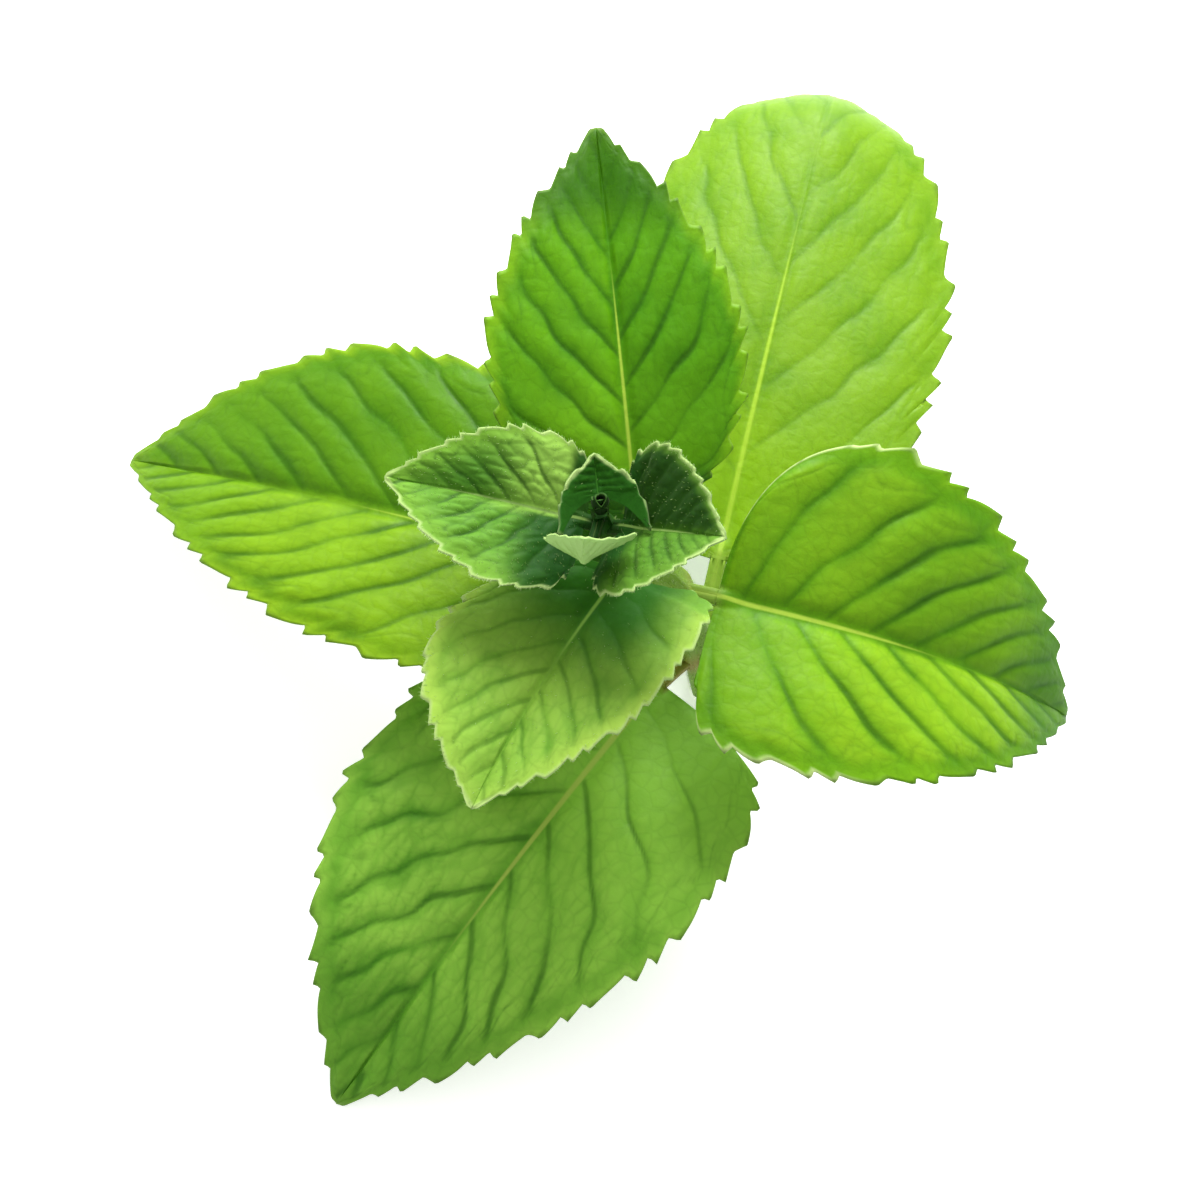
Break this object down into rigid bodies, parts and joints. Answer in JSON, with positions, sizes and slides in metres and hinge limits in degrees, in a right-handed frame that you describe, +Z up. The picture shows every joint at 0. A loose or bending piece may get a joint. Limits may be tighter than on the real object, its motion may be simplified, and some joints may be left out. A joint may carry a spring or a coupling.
{
  "type": "mint sprig",
  "caption": "Cut tip of a mint shoot: opposite pairs of toothed, veined leaves and a bud on a short square stem, lying on its lowest leaves as a garnish.",
  "frame": {"origin": "middle of the bounding box's bottom, on the surface that the sprig lies on", "axes": "+Z up from the surface towards the shoot's tip; +Y the longest way, from the lowest front leaf to the lowest back leaf; +X towards the big leaf on the right"},
  "size_m": [0.0939, 0.1045, 0.0446],
  "materials": {
    "stem": "soft green stem, finely hairy",
    "leaf_lowest_back": "satin yellow-green leaf",
    "leaf_lowest_front": "satin green leaf, quilted between its veins",
    "leaf_right": "satin green leaf, quilted between its veins",
    "leaf_left": "satin green leaf, quilted between its veins",
    "leaf_upper_back": "satin deep green leaf",
    "leaf_upper_front": "downy grey-green leaf",
    "young_leaf_left": "downy young leaf",
    "young_leaf_right": "downy young leaf, cupped",
    "tip_leaf_back": "downy dark young leaf",
    "tip_leaf_front": "downy young leaf with a pale rim",
    "tip_bud": "dark green bud"
  },
  "bodies": {
    "root": {"stem": "stem", "leaf_lowest_back": "leaf_lowest_back", "leaf_lowest_front": "leaf_lowest_front", "leaf_right": "leaf_right", "leaf_left": "leaf_left", "leaf_upper_back": "leaf_upper_back", "leaf_upper_front": "leaf_upper_front", "young_leaf_left": "young_leaf_left", "young_leaf_right": "young_leaf_right", "tip_leaf_back": "tip_leaf_back", "tip_leaf_front": "tip_leaf_front", "tip_bud": "tip_bud"}
  },
  "joints": []
}
